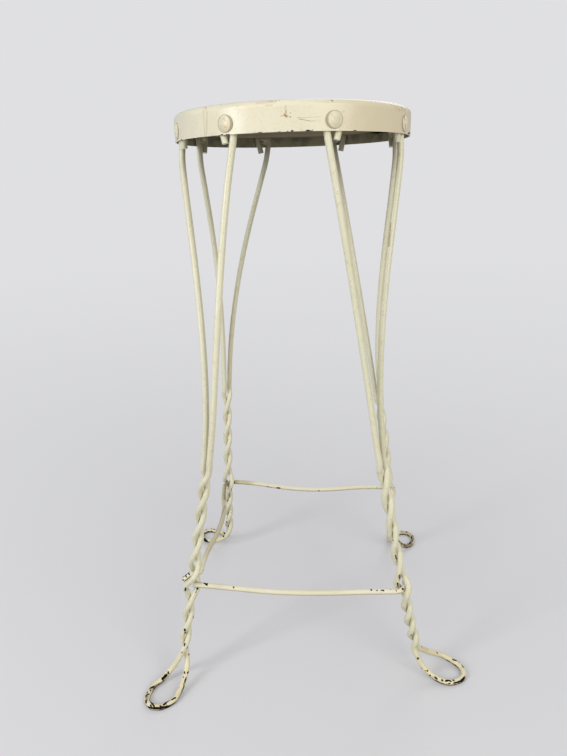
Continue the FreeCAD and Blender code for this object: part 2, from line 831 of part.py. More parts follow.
subparts = [make_seat_band(), make_seat_board()]
for number, angle in rivets():
    subparts.append(make_rivet("rivet_%d" % number, angle))
    subparts.append(make_washer("washer_%d" % number, angle))
for leg in LEGS:
    name = "leg_wire_" + leg
    wire = make_wire(name, leg_stations(leg), size("leg_wire_diameter"))
    subparts.append(feature_of(name, worn_flat(wire)))
ring = make_wire("rung_ring", ring_stations(), size("ring_wire_diameter"))
subparts.append(feature_of("rung_ring", ring))

doc.recompute()
for item in doc.Objects:
    if "Invalid" in item.State or "Error" in item.State:
        raise RuntimeError("%s failed: %s" % (item.Name, item.State))
for item in subparts:
    if item.Shape.isNull() or not item.Shape.isValid() or len(item.Shape.Solids) != 1:
        raise RuntimeError("%s has no single valid solid" % item.Label)

os.makedirs("parts", exist_ok=True)
for item in subparts:
    item.Shape.exportStep("parts/%s.step" % item.Label)
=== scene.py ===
import math
from collections import namedtuple

import bpy
from mathutils import Matrix, Vector


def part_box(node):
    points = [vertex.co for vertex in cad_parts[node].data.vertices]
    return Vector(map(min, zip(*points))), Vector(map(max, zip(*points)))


# A stool of twisted wire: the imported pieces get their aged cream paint, chipped to dark steel,
# and the board its wood. Metres, +Z up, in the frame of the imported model.

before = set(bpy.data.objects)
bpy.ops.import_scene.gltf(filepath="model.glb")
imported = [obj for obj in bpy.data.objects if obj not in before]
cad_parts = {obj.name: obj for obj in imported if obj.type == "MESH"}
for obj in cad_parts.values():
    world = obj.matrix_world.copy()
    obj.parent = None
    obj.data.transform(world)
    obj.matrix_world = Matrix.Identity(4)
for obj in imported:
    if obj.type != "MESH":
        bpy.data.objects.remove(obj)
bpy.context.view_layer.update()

MM = 0.001
LEGS = ("front_left", "front_right", "back_right", "back_left")
RIVET_NUMBERS = range(1, 9)
RIVETS = ["rivet_%d" % number for number in RIVET_NUMBERS]
WASHERS = ["washer_%d" % number for number in RIVET_NUMBERS]

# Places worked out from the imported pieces


def middle_of(node):
    low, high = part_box(node)
    return (low + high) / 2


BOARD_LOW, BOARD_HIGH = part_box("seat_board")
BAND_LOW, BAND_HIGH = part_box("seat_band")
SEAT = middle_of("seat_board")
BOARD_TO_BAND_FACE = 1.8 * MM
SEAT_RADIUS = (BOARD_HIGH.x - BOARD_LOW.x) / 2 + BOARD_TO_BAND_FACE
RING_HEIGHT = 156 * MM
RING_REACH = 4 * MM


def leg_middle(leg, height):
    """The middle of a leg's wire at a height."""
    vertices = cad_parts["leg_wire_" + leg].data.vertices
    spots = [vertex.co for vertex in vertices if abs(vertex.co.z - height) < RING_REACH]
    return sum(spots, Vector()) / len(spots)


def head_middle(rivet):
    """Where a rivet's axis passes the outer face of the band."""
    away = middle_of(rivet) - SEAT
    flat = Vector((away.x, away.y, 0)).normalized()
    return Vector((SEAT.x, SEAT.y, middle_of(rivet).z)) + flat * SEAT_RADIUS


RING_CORNERS = {leg: leg_middle(leg, RING_HEIGHT) for leg in LEGS}
RIVET_HEADS = {rivet: head_middle(rivet) for rivet in RIVETS}

# Camera at the photograph's viewing angle. Its place is counted from the floor under the middle
# of the seat, and the model is turned by MODEL_TURN from the photograph's own front.

CAMERA_PLACE = Vector((0, -800, 697)) * MM
CAMERA_YAW = math.radians(-1.42)
CAMERA_PITCH = math.radians(19.17)
CAMERA_ROLL = math.radians(-1.54)
MODEL_TURN = math.radians(5.0)
FOCAL_PIXELS = 568.0
PHOTO_WIDTH = 567
PHOTO_HEIGHT = 756
SENSOR_HEIGHT = 36.0


def make_camera():
    data = bpy.data.cameras.new("camera")
    data.sensor_fit = "VERTICAL"
    data.sensor_height = SENSOR_HEIGHT
    data.lens = SENSOR_HEIGHT * FOCAL_PIXELS / PHOTO_HEIGHT
    camera = bpy.data.objects.new("camera", data)
    bpy.context.scene.collection.objects.link(camera)
    level = math.cos(CAMERA_PITCH)
    ahead = Vector((math.sin(CAMERA_YAW) * level, math.cos(CAMERA_YAW) * level, -math.sin(CAMERA_PITCH)))
    right = Vector((math.cos(CAMERA_YAW), -math.sin(CAMERA_YAW), 0))
    up = right.cross(ahead)
    side = right * math.cos(CAMERA_ROLL) + up * math.sin(CAMERA_ROLL)
    top = up * math.cos(CAMERA_ROLL) - right * math.sin(CAMERA_ROLL)
    view = Matrix((side, top, -ahead)).transposed().to_4x4()
    view.translation = CAMERA_PLACE
    floor_point = Matrix.Translation((SEAT.x, SEAT.y, 0))
    camera.matrix_world = floor_point @ Matrix.Rotation(MODEL_TURN, 4, "Z") @ view
    bpy.context.scene.camera = camera
    bpy.context.view_layer.update()
    return camera


camera = make_camera()

# Places that the photograph shows: a ray from the camera through a pixel, on to one piece. Where
# the ray misses the piece, the pixels round it are tried, the nearest first.

PIXEL_REACH = 3


def pixel_ray(x, y):
    """The direction in which the camera sees a pixel."""
    across = (x - PHOTO_WIDTH / 2) / FOCAL_PIXELS
    upward = (PHOTO_HEIGHT / 2 - y) / FOCAL_PIXELS
    return (camera.matrix_world.to_3x3() @ Vector((across, upward, -1))).normalized()


def seen_at(node, x, y):
    """The spot on the piece that shows nearest to a pixel, or None."""
    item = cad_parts[node]
    steps = range(-PIXEL_REACH, PIXEL_REACH + 1)
    for _, dx, dy in sorted((abs(dx) + abs(dy), dx, dy) for dx in steps for dy in steps):
        hit, spot, _, _ = item.ray_cast(camera.matrix_world.translation, pixel_ray(x + dx, y + dy))
        if hit:
            return spot
    return None


def strokes_on(node, rows):
    """Rows of pixels and half widths, as spots on a piece and half widths in metres."""
    strokes = []
    for x0, y0, x1, y1, half_width in rows:
        start, end = seen_at(node, x0, y0), seen_at(node, x1, y1)
        if start and end:
            strokes.append((start, end, half_width * MM))
    return strokes


# Colours are written as they show on a screen, 0 to 255, and turned linear by the sRGB curve

BRIGHTEST = 255
CURVE_START = 0.04045
CURVE_SLOPE = 12.92
CURVE_OFFSET = 0.055
CURVE_POWER = 2.4


def colour(red, green, blue):
    def linear(value):
        share = value / BRIGHTEST
        if share <= CURVE_START:
            return share / CURVE_SLOPE
        return ((share + CURVE_OFFSET) / (1 + CURVE_OFFSET)) ** CURVE_POWER
    return (linear(red), linear(green), linear(blue), 1.0)


CREAM = colour(240, 234, 208)
CREAM_GREEN = colour(231, 227, 197)
CREAM_WARM = colour(236, 223, 190)
CREAM_PINK = colour(214, 184, 152)
TAN = colour(216, 200, 166)
WARM_SIDE = colour(226, 210, 176)
STAIN = colour(192, 172, 128)
CREASE = colour(174, 157, 112)
GRIME = colour(116, 99, 62)
BROWN = colour(124, 99, 62)
OLIVE = colour(168, 153, 98)
FOOT_WARM = colour(235, 221, 174)
WIRE_GREEN = colour(225, 227, 199)
SCRATCH = colour(116, 96, 64)
RUST = colour(132, 98, 58)
BARE_STEEL = colour(24, 18, 14)
BARE_RUST = colour(66, 44, 28)
WOOD_LIGHT = colour(140, 122, 84)
WOOD_DARK = colour(92, 77, 52)
WOOD_GRAIN = colour(56, 45, 29)
DUST_AND_SHADE = colour(140, 135, 108)
SHADED = colour(92, 88, 72)

# What the materials are made of. A noise has its bumps to the metre, its detail and its
# roughness. A fade rises smoothly from 0 at its start to its most where it is full. Patches are
# a noise and the fade that picks them out. A spread is a noise and the values that it lies
# between.

Noise = namedtuple("Noise", "scale detail roughness", defaults=(0.5,))
Fade = namedtuple("Fade", "start full most", defaults=(1.0,))
Patches = namedtuple("Patches", "noise fade")
Spread = namedtuple("Spread", "noise low high")

# The mix node's sockets go by number: its share, both ends and its result
MIX_SOCKETS = {"FLOAT": (0, 2, 3, 0), "RGBA": (0, 6, 7, 2)}
OPENNESS_SAMPLES = 8
COAT_ROUGHNESS = 0.22
SHORTEST_STROKE = 0.1 * MM


class Shader:
    """A material's nodes. Each method adds what it names and returns its output."""

    def __init__(self, name):
        self.material = bpy.data.materials.new(name)
        self.material.use_nodes = True
        self.nodes = self.material.node_tree.nodes
        self.links = self.material.node_tree.links
        self.nodes.clear()
        self.place = self.nodes.new("ShaderNodeTexCoord").outputs["Object"]
        self.facing = self.nodes.new("ShaderNodeNewGeometry").outputs["Normal"]

    def put(self, socket, value):
        """Links a socket to an output, or sets it to a constant."""
        if isinstance(value, bpy.types.NodeSocket):
            self.links.new(value, socket)
        else:
            socket.default_value = value

    def math(self, operation, first, second=0.0, third=0.0):
        node = self.nodes.new("ShaderNodeMath")
        node.operation = operation
        for socket, value in zip(node.inputs, (first, second, third)):
            self.put(socket, value)
        return node.outputs[0]

    def times(self, first, second):
        return self.math("MULTIPLY", first, second)

    def folded(self, operation, values):
        """One result of many values, two at a time."""
        result = values[0]
        for value in values[1:]:
            result = self.math(operation, result, value)
        return result

    def total(self, values):
        return self.folded("ADD", values)

    def least(self, values):
        return self.folded("MINIMUM", values)

    def most(self, values):
        return self.folded("MAXIMUM", values)

    def vector(self, operation, first, second=(0, 0, 0), output="Vector"):
        node = self.nodes.new("ShaderNodeVectorMath")
        node.operation = operation
        self.put(node.inputs[0], first)
        self.put(node.inputs["Scale"] if operation == "SCALE" else node.inputs[1], second)
        return node.outputs[output]

    def part(self, vector, axis):
        node = self.nodes.new("ShaderNodeSeparateXYZ")
        self.put(node.inputs[0], vector)
        return node.outputs[axis]

    def stretched(self, factors):
        return self.vector("MULTIPLY", self.place, factors)

    def fade(self, value, fade):
        """How far a value has come in a fade."""
        node = self.nodes.new("ShaderNodeMapRange")
        node.interpolation_type = "SMOOTHSTEP"
        self.put(node.inputs["Value"], value)
        self.put(node.inputs["From Min"], fade.start)
        self.put(node.inputs["From Max"], fade.full)
        share = node.outputs["Result"]
        return share if fade.most == 1.0 else self.times(share, fade.most)

    def noise(self, noise, place=None, output="Fac"):
        node = self.nodes.new("ShaderNodeTexNoise")
        self.put(node.inputs["Vector"], place or self.place)
        node.inputs["Scale"].default_value = noise.scale
        node.inputs["Detail"].default_value = noise.detail
        node.inputs["Roughness"].default_value = noise.roughness
        return node.outputs[output]

    def patches(self, patches, place=None):
        return self.fade(self.noise(patches.noise, place), patches.fade)

    def spread(self, spread):
        return self.between(self.noise(spread.noise), spread.low, spread.high)

    def mixed(self, kind, share, first, second):
        node = self.nodes.new("ShaderNodeMix")
        node.data_type = kind
        *sockets, result = MIX_SOCKETS[kind]
        for socket, value in zip(sockets, (share, first, second)):
            self.put(node.inputs[socket], value)
        return node.outputs[result]

    def between(self, share, first, second):
        """A value between two values."""
        return self.mixed("FLOAT", share, first, second)

    def blend(self, share, first, second):
        """A colour between two colours."""
        return self.mixed("RGBA", share, first, second)

    def away_from(self, spot, place=None):
        return self.vector("DISTANCE", place or self.place, tuple(spot), output="Value")

    def away_from_line(self, start, end, place=None):
        """The distance from the stretch between two spots."""
        along = end - start
        if along.length < SHORTEST_STROKE:
            return self.away_from(start, place)
        offset = self.vector("SUBTRACT", place or self.place, tuple(start))
        share = self.vector("DOT_PRODUCT", offset, tuple(along / along.length_squared), output="Value")
        share = self.least([self.most([share, 0.0]), 1.0])
        foot = self.vector("SCALE", tuple(along), share)
        return self.vector("DISTANCE", offset, foot, output="Value")

    def facing_seat(self):
        """1 on faces that look at the seat's middle, -1 on faces that look away from it."""
        inward = self.vector("NORMALIZE", self.vector("SUBTRACT", tuple(SEAT), self.place))
        return self.vector("DOT_PRODUCT", inward, self.facing, output="Value")

    def openness(self, reach):
        """1 on open surfaces, less where something lies within reach."""
        node = self.nodes.new("ShaderNodeAmbientOcclusion")
        node.samples = OPENNESS_SAMPLES
        node.inputs["Distance"].default_value = reach
        return node.outputs["AO"]

    def finish(self, base, roughness, height, coat=0.0, metallic=0.0):
        """Ends the material. Its height is in metres, so the bump keeps it as it is."""
        bump = self.nodes.new("ShaderNodeBump")
        bump.inputs["Strength"].default_value = 1.0
        bump.inputs["Distance"].default_value = 1.0
        self.put(bump.inputs["Height"], height)
        surface = self.nodes.new("ShaderNodeBsdfPrincipled")
        self.put(surface.inputs["Base Color"], base)
        self.put(surface.inputs["Roughness"], roughness)
        self.put(surface.inputs["Metallic"], metallic)
        surface.inputs["Coat Weight"].default_value = coat
        surface.inputs["Coat Roughness"].default_value = COAT_ROUGHNESS
        self.put(surface.inputs["Normal"], bump.outputs["Normal"])
        output = self.nodes.new("ShaderNodeOutputMaterial")
        self.put(output.inputs["Surface"], surface.outputs[0])
        return self.material


# Strokes: chips and marks along a line, with a ragged edge. The edge shares are a fade, in
# shares of half the stroke's width.

RAG_NOISE = Noise(420, 2.0)
NOISE_MIDDLE = (0.5, 0.5, 0.5)
CHIP_RAG = 0.8 * MM
MARK_RAG = 0.24 * MM
CHIP_EDGE_SHARES = Fade(1.38, 1.14)
MARK_EDGE_SHARES = Fade(2.0, 0.4)


def ragged_place(shader, rag):
    """The place, shifted about by a fine noise, for edges that aren't smooth."""
    drift = shader.vector("SUBTRACT", shader.noise(RAG_NOISE, output="Color"), NOISE_MIDDLE)
    return shader.vector("ADD", shader.place, shader.vector("SCALE", drift, 2 * rag))


def stroke_cover(shader, strokes, place, edge_shares):
    """1 on the strokes and 0 away from them."""
    covers = []
    for start, end, half_width in strokes:
        away = shader.away_from_line(start, end, place)
        edge = Fade(half_width * edge_shares.start, half_width * edge_shares.full)
        covers.append(shader.fade(away, edge))
    return shader.most(covers)


def marked(shader, base, node, groups):
    """Adds soft-edged marks to a colour."""
    place = ragged_place(shader, MARK_RAG)
    for tone, most_share, rows in groups:
        strokes = strokes_on(node, rows)
        if strokes:
            cover = stroke_cover(shader, strokes, place, MARK_EDGE_SHARES)
            base = shader.blend(shader.times(cover, most_share), base, tone)
    return base


# Chips: where a noise passes a limit, which falls as the wear grows, with rust round them

CHIP_GRAIN = Noise(190, 3.0, 0.55)
UNWORN_LIMIT = 0.80
LIMIT_FALL = 0.46
CHIP_FADE = Fade(-0.012, 0.012)
HALO_FADE = Fade(-0.07, 0.0)
HALO_PATCHES = Patches(Noise(60, 2.0), Fade(0.45, 0.70))
HALO_SHARE = 0.45


def scattered_chips(shader, wear):
    """Chips that are rare where wear is 0 and cover all where it is 1, and their halo."""
    limit = shader.math("MULTIPLY_ADD", wear, -LIMIT_FALL, UNWORN_LIMIT)
    gap = shader.math("SUBTRACT", shader.noise(CHIP_GRAIN), limit)
    halo = shader.times(shader.fade(gap, HALO_FADE), shader.patches(HALO_PATCHES))
    return shader.fade(gap, CHIP_FADE), shader.times(halo, HALO_SHARE)


# Paint: cream, blotched and stained, with dirt and painted shade in the creases, chipped to dark steel

BLOTCHES = Patches(Noise(9, 3.0), Fade(0.38, 0.66))
WARM_BLOTCHES = Patches(Noise(26, 4.0, 0.6), Fade(0.52, 0.80))
STAINS = Patches(Noise(75, 4.0, 0.65), Fade(0.58, 0.80, 0.45))
SPECKS = Patches(Noise(900, 1.0), Fade(0.68, 0.76, 0.5))
CREASES = Fade(0.76, 0.26)
CREASE_DIRT_AND_SHADE = Spread(Noise(110, 3.0), 0.25, 0.75)
CREASE_REACH = 4 * MM
FINE_CREASE_REACH = 1.5 * MM
RUST_ON_STEEL = Patches(Noise(240, 3.0), Fade(0.54, 0.72))
LUMPS = Noise(85, 3.0)
LUMP_HEIGHT = 0.55 * MM
PEEL = Noise(650, 2.0)
PEEL_HEIGHT = 0.045 * MM
PAINT_DEPTH = 0.16 * MM
PAINT_ROUGHNESS = Spread(Noise(40, 3.0), 0.27, 0.42)
BARE_ROUGHNESS = 0.62
COAT_SHARE = 0.12
BAND_COAT_SHARE = 0.30


def paint(name, wear, chips=(), tint=None, extra=None, crease_reach=CREASE_REACH, coat=COAT_SHARE):
    """wear(shader) gives the share of wear, chips are strokes, tint is a colour and its share, and
    extra(shader, colour) adds marks of its own."""
    shader = Shader(name)
    base = shader.blend(shader.patches(BLOTCHES), CREAM, CREAM_GREEN)
    base = shader.blend(shader.patches(WARM_BLOTCHES), base, CREAM_WARM)
    if tint:
        tone, share = tint
        base = shader.blend(share, base, tone)
    base = shader.blend(shader.patches(STAINS), base, STAIN)
    base = shader.blend(shader.patches(SPECKS), base, GRIME)
    # Painted shade, partly dirt: the crease colour darkens the paint where other surfaces lie close by
    crease = shader.times(shader.fade(shader.openness(crease_reach), CREASES), shader.spread(CREASE_DIRT_AND_SHADE))
    base = shader.blend(crease, base, CREASE)
    if extra:
        base = extra(shader, base)
    bare, halo = scattered_chips(shader, wear(shader))
    if chips:
        placed = stroke_cover(shader, chips, ragged_place(shader, CHIP_RAG), CHIP_EDGE_SHARES)
        bare = shader.most([bare, placed])
    base = shader.blend(halo, base, RUST)
    steel = shader.blend(shader.patches(RUST_ON_STEEL), BARE_STEEL, BARE_RUST)
    base = shader.blend(bare, base, steel)
    height = shader.total([
        shader.times(shader.noise(LUMPS), LUMP_HEIGHT),
        shader.times(shader.noise(PEEL), PEEL_HEIGHT),
        shader.times(bare, -PAINT_DEPTH),
    ])
    roughness = shader.between(bare, shader.spread(PAINT_ROUGHNESS), BARE_ROUGHNESS)
    return shader.finish(base, roughness, height, coat=coat, metallic=bare)


# Wear of each kind of piece, as a share. A fade goes by height, by distance or, for the
# undersides, by how far a face looks up.

FOOT_WEAR_SHARES = {"front_left": 0.36, "front_right": 0.34, "back_right": 0.46, "back_left": 0.40}
FOOT = Fade(40 * MM, 6 * MM)
SOLE = Fade(13 * MM, 6 * MM)
SOLE_UNDERSIDE = Fade(0.34, -0.14)
SOLE_WEAR_SHARE = 0.82
CROSSING_WEAR = Fade(30 * MM, 8 * MM, 0.30)
TWIST_WEAR = Fade(360 * MM, 120 * MM, 0.15)
RING_CORNER_WEAR = Fade(60 * MM, 10 * MM, 0.33)
RING_UNDERSIDE_WEAR = Fade(-0.2, -0.8, 0.42)
RING_LEAST_SHARE = 0.14
LOWER_EDGE_WEAR = Fade(BAND_LOW.z + 3.0 * MM, BAND_LOW.z + 0.3 * MM, 0.42)
ROLL_WEAR = Fade(BAND_HIGH.z - 7 * MM, BAND_HIGH.z - 1 * MM, 0.16)
RIVET_WEAR_SHARE = 0.06
WASHER_WEAR_SHARE = 0.35


def wire_wear(corner, foot_share):
    """Feet wear most, below and near the floor, and then the crossing with the ring."""
    def wear(shader):
        height = shader.part(shader.place, "Z")
        below = shader.fade(shader.part(shader.facing, "Z"), SOLE_UNDERSIDE)
        sole = shader.times(shader.fade(height, SOLE), below)
        return shader.most([
            shader.times(shader.fade(height, FOOT), foot_share),
            shader.times(sole, SOLE_WEAR_SHARE),
            shader.fade(shader.away_from(corner), CROSSING_WEAR),
            shader.fade(height, TWIST_WEAR),
        ])
    return wear


def ring_wear(shader):
    """The ring wears at its corners and below."""
    corners = [shader.away_from(spot) for spot in RING_CORNERS.values()]
    near = shader.fade(shader.least(corners), RING_CORNER_WEAR)
    below = shader.fade(shader.part(shader.facing, "Z"), RING_UNDERSIDE_WEAR)
    return shader.most([near, below, RING_LEAST_SHARE])


def band_wear(shader):
    """The band wears at its lower edge and a little along the roll."""
    height = shader.part(shader.place, "Z")
    return shader.most([shader.fade(height, LOWER_EDGE_WEAR), shader.fade(height, ROLL_WEAR)])


def even_wear(share):
    """The same wear all over."""
    def wear(shader):
        return share
    return wear


# Chips that the photograph shows, as strokes. A row is the pixels of both ends and half the
# width in millimetres.

LEG_CHIPS = {
    "front_left": (
        (185.8, 588, 185.3, 590.6, 1.0),
        (198.6, 585.8, 197.4, 588.6, 1.3),
        (197.2, 589.2, 195.6, 592.6, 0.5),
        (193.6, 616.4, 193.4, 618, 0.8),
        (184.8, 629.5, 184.8, 630.8, 1.2),
        (185.3, 632.5, 184.9, 633.2, 1.1),
        (184.7, 643.6, 184.4, 645.2, 1.1),
        (187.8, 646.8, 187, 648.5, 0.9),
        (181.8, 652.4, 182, 652.5, 0.8),
        (189, 654, 189, 654.6, 0.8),
        (184.4, 672, 184.6, 673, 0.9),
        (188.6, 672.2, 188.7, 672.8, 1.0),
        (183.3, 676.5, 183.3, 677.5, 0.6),
        (186, 678, 184.8, 682, 0.9),
        (184.8, 686.6, 182.6, 691, 0.9),
        (175.2, 697.8, 172, 699.5, 0.9),
        (168.3, 700.8, 164, 704.5, 1.3),
        (168.3, 673.4, 168, 672, 1.0),
        (166, 675.2, 162.8, 678.6, 1.8),
        (159.7, 684, 159.6, 684.3, 0.9),
        (154, 686.6, 150.3, 688, 0.9),
        (150.6, 690.5, 150.8, 690.8, 0.8),
        (147.6, 692, 147, 692.6, 0.9),
        (149, 694, 145.8, 695.6, 0.9),
        (146, 701, 146, 702.5, 1.3),
        (151.6, 702, 154.2, 706.3, 0.9),
        (150.6, 705.3, 151.4, 706.2, 0.9),
        (148.2, 707, 154, 708.3, 1.1),
        (154, 708.3, 162, 708, 1.3),
        (162, 707.6, 170, 706, 1.3),
        (170, 705.8, 176, 702.6, 0.9),
        (160.2, 705.8, 161, 706.2, 0.9),
    ),
    "front_right": (
        (392.9, 540.2, 393, 540.6, 1.0),
        (396.6, 555.2, 396.2, 558.8, 0.8),
        (399.8, 575, 400.8, 578.5, 0.7),
        (397.5, 583, 398, 586, 0.9),
        (411.3, 634.9, 411.4, 635.2, 1.1),
        (417.9, 658.3, 418.1, 658.7, 1.2),
        (421.5, 669.2, 421.8, 669.7, 0.8),
        (427.2, 670.6, 427.4, 670.9, 1.0),
        (430.1, 675.2, 430.2, 675.5, 0.9),
        (435.1, 677.4, 436.9, 678.9, 1.1),
        (442.1, 680, 442.5, 680.4, 1.1),
        (445.9, 680.9, 448.3, 680.3, 1.1),
        (448.3, 680.3, 450.6, 681.1, 1.1),
        (453.2, 680, 453.6, 680.4, 1.1),
        (441, 683.2, 450, 683.6, 0.7),
        (454.1, 683, 458, 682.2, 1.0),
        (458, 682.2, 461.5, 680.8, 1.2),
        (461.5, 680.8, 464.5, 677.6, 1.4),
        (462.7, 665, 463.6, 667.4, 0.7),
        (460, 662, 460.2, 662.3, 0.8),
        (453, 659.4, 456.4, 660.6, 1.0),
        (437, 652.6, 437.3, 653, 0.9),
        (421.5, 644.4, 421.7, 644.6, 0.8),
    ),
    "back_right": (
        (411.4, 536.8, 411.8, 538.4, 1.1),
        (410.4, 541.6, 409.6, 543.6, 1.3),
        (404.4, 544.8, 405.2, 545.3, 1.2),
        (401.2, 543.2, 401.6, 544.2, 1.0),
        (406.8, 539, 407.4, 540.6, 1.2),
        (402.5, 537, 402.6, 539, 0.9),
    ),
    "back_left": (
        (227.1, 480, 227.1, 480.8, 1.6),
        (228.5, 483, 229, 486, 1.0),
        (231.6, 489, 231.7, 490, 0.9),
        (227.7, 500.4, 228, 501, 1.0),
        (224.5, 516.8, 224.7, 517.4, 0.7),
        (226.4, 521.6, 226.6, 522.4, 0.9),
        (226, 525.6, 228.8, 526, 1.2),
        (223.6, 536, 225.6, 532.6, 1.9),
        (203.8, 538.8, 207, 541.6, 2.4),
        (204.8, 533, 205.2, 536.4, 1.1),
        (214, 528.3, 214.6, 528.5, 1.1),
        (206, 529.3, 206.6, 529.5, 1.0),
    ),
}
RING_CHIPS = (
    (182, 579.6, 182.2, 580.2, 0.9),
    (185.1, 582.3, 185.4, 582.8, 0.8),
    (186, 574.6, 186.2, 576.4, 1.1),
    (188.6, 572.8, 189.2, 574.2, 1.0),
    (195.4, 579.4, 195.8, 580, 1.1),
    (204.2, 583, 207, 585, 1.0),
    (206.6, 584.6, 207.3, 583.2, 0.8),
    (233.5, 587, 233.7, 587.4, 0.9),
    (371, 589.6, 371.6, 589.9, 1.0),
    (377, 590.2, 377.3, 590.4, 0.7),
    (381.5, 590.1, 383.8, 590.4, 0.8),
    (390.3, 588.4, 390.5, 588.5, 0.5),
    (402.7, 588.8, 403, 589.2, 1.1),
    (234.6, 481.6, 234.4, 484, 1.0),
    (267, 488.6, 269, 489, 0.9),
    (271, 489.4, 271.4, 489.6, 0.7),
    (277, 490, 279.6, 491, 1.2),
    (308, 491, 308.4, 491.2, 0.6),
    (318.6, 491.6, 319, 491.9, 0.9),
)
BAND_EDGE_CHIPS = (
    (363.5, 131.6, 366.5, 131.9, 0.6),
    (366.5, 132, 372, 132.3, 1.0),
    (372, 132.3, 379, 132.4, 1.3),
    (379, 132.3, 388, 132.3, 0.6),
    (408, 133.4, 410, 133, 0.8),
)

# The band's own marks. Each group has its tone, the most that it covers, and its rows.

BAND_MARKS = (
    (TAN, 0.62, (
        (207.0, 112, 206.8, 120, 0.9),
        (206.8, 120, 206.4, 134, 1.2),
        (257, 103, 275, 101.6, 1.3),
        (266, 105.6, 272, 105, 0.8),
        (285.6, 106, 285.8, 112, 0.9),
        (395.6, 106.5, 405, 109.5, 2.2),
        (405, 109.5, 406.5, 128, 1.6),
        (340, 112.5, 344, 111.5, 0.9),
    )),
    (STAIN, 0.8, (
        (280.5, 116, 284.5, 115.4, 0.3),
        (284.6, 114.4, 286.8, 116.2, 1.1),
        (285.8, 111, 286, 113.5, 0.6),
        (297.1, 117.5, 301.2, 117.8, 0.22),
        (301.2, 117.8, 310.4, 117.2, 0.20),
        (310.4, 117.2, 321.1, 116.7, 0.16),
        (399.2, 110, 399.8, 110.6, 0.6),
        (205.4, 107.2, 206.2, 108.5, 0.6),
    )),
    (SCRATCH, 0.75, (
        (284.4, 115.2, 286.4, 116.3, 0.55),
        (289.9, 116.8, 290.4, 117.1, 0.5),
        (290.3, 112.9, 290.6, 113.1, 0.3),
        (299.2, 119, 304.6, 120, 0.26),
        (304.6, 120, 310.4, 121.1, 0.24),
        (310.4, 121.1, 315.3, 120.8, 0.14),
        (269.6, 101.2, 269.9, 101.2, 0.5),
        (271.8, 101.1, 272.1, 101.1, 0.5),
        (276, 100.6, 276.3, 100.6, 0.5),
        (279.2, 100.4, 279.5, 100.4, 0.4),
        (375.2, 101.5, 375.6, 101.6, 0.6),
        (384.4, 103, 384.6, 103.1, 0.4),
        (391.2, 104.2, 391.6, 104.4, 0.5),
        (393.6, 105.6, 393.9, 105.8, 0.3),
        (401, 106.6, 402.4, 107, 0.5),
    )),
)
RIGHT_SIDE = Fade(SEAT.x + 20 * MM, SEAT.x + 110 * MM, 0.55)
RIVET_RADIUS = 8.8 * MM
RIVET_RIM = Fade(0.6 * MM, 0.2 * MM)
RIM_DIRT = Spread(Noise(120, 2.0), 0.35, 0.95)
BAND_INSIDE = Fade(0.3, 0.8, 0.92)
SHADED_PATCHES = Patches(Noise(60, 4.0, 0.6), Fade(0.40, 0.68))


def band_marks_and_shade(shader, base):
    """The band turns tan and darker towards its right side, partly as painted shade, has painted shade
    with some dust on its inside, and is dark round the rivets.
    """
    # Partly painted shade: tan and darker towards the right side
    beside = shader.fade(shader.part(shader.place, "X"), RIGHT_SIDE)
    base = shader.blend(beside, base, WARM_SIDE)
    rims = []
    for spot in RIVET_HEADS.values():
        rims.append(shader.math("ABSOLUTE", shader.math("SUBTRACT", shader.away_from(spot), RIVET_RADIUS)))
    rim = shader.times(shader.fade(shader.least(rims), RIVET_RIM), shader.spread(RIM_DIRT))
    base = shader.blend(rim, base, GRIME)
    base = marked(shader, base, "seat_band", BAND_MARKS)
    # Painted shade with some dust: the inside of the band goes dark grey-green in patches
    inside_dust_and_shade = shader.blend(shader.patches(SHADED_PATCHES), DUST_AND_SHADE, SHADED)
    return shader.blend(shader.fade(shader.facing_seat(), BAND_INSIDE), base, inside_dust_and_shade)


# Soil and painted shade on the wires: brown low on the feet and where the ring bends, partly dirt and
# partly painted shade, painted shade on the leg tops under the seat, and freckles all over the legs

LEG_SOIL_AND_SHADE = {
    "front_left": (
        # Partly painted shade: brown and dark rust strokes along the inner edge of the foot loop
        (BROWN, 0.7, (
            (150, 689, 160, 684.5, 1.6),
            (147.5, 694, 146, 701, 1.6),
        )),
        (BARE_RUST, 0.85, (
            (158.9, 683.6, 154, 688.6, 0.8),
            (154, 688.6, 151.8, 693.4, 0.9),
            (151.8, 693.4, 151.6, 700, 0.8),
            (151.6, 700, 153, 704, 0.8),
            (183.6, 689, 181.4, 695, 0.7),
        )),
    ),
    "front_right": (
        (BROWN, 0.6, (
            (390.9, 223, 389.8, 234, 0.7),
            (389.8, 234, 388.8, 246, 0.9),
        )),
        # Partly painted shade: brown in the crease where the leg's eye holds the ring
        (BROWN, 0.75, (
            (399.5, 576, 402.5, 583.5, 1.8),
            (402.5, 583.5, 404, 587, 1.2),
        )),
        (CREAM_PINK, 0.55, (
            (421.5, 646.5, 427, 649.5, 3.0),
        )),
    ),
    "back_right": (
        (OLIVE, 0.65, (
            (401, 533.5, 406, 531.8, 3.0),
            (406, 531.8, 411, 534.5, 3.0),
        )),
        (BROWN, 0.85, (
            (400.5, 539, 402, 543, 3.0),
            (402, 543, 406, 546.5, 3.0),
            (406, 546.5, 411, 543, 3.0),
            (411, 543, 413, 538, 2.4),
        )),
    ),
    "back_left": (
        (STAIN, 0.35, (
            (236, 288, 233.5, 308, 1.0),
            (233.5, 308, 230.5, 345, 1.8),
            (230.5, 345, 229.5, 388, 2.2),
        )),
        (GRIME, 0.7, (
            (231.5, 316, 229.6, 334, 0.6),
            (229.6, 334, 228.2, 352, 1.2),
            (228.2, 352, 227.8, 374, 0.7),
        )),
        (BROWN, 0.7, (
            (228.6, 484, 229.4, 497, 1.6),
            (228.5, 512, 227, 524, 1.6),
        )),
    ),
}
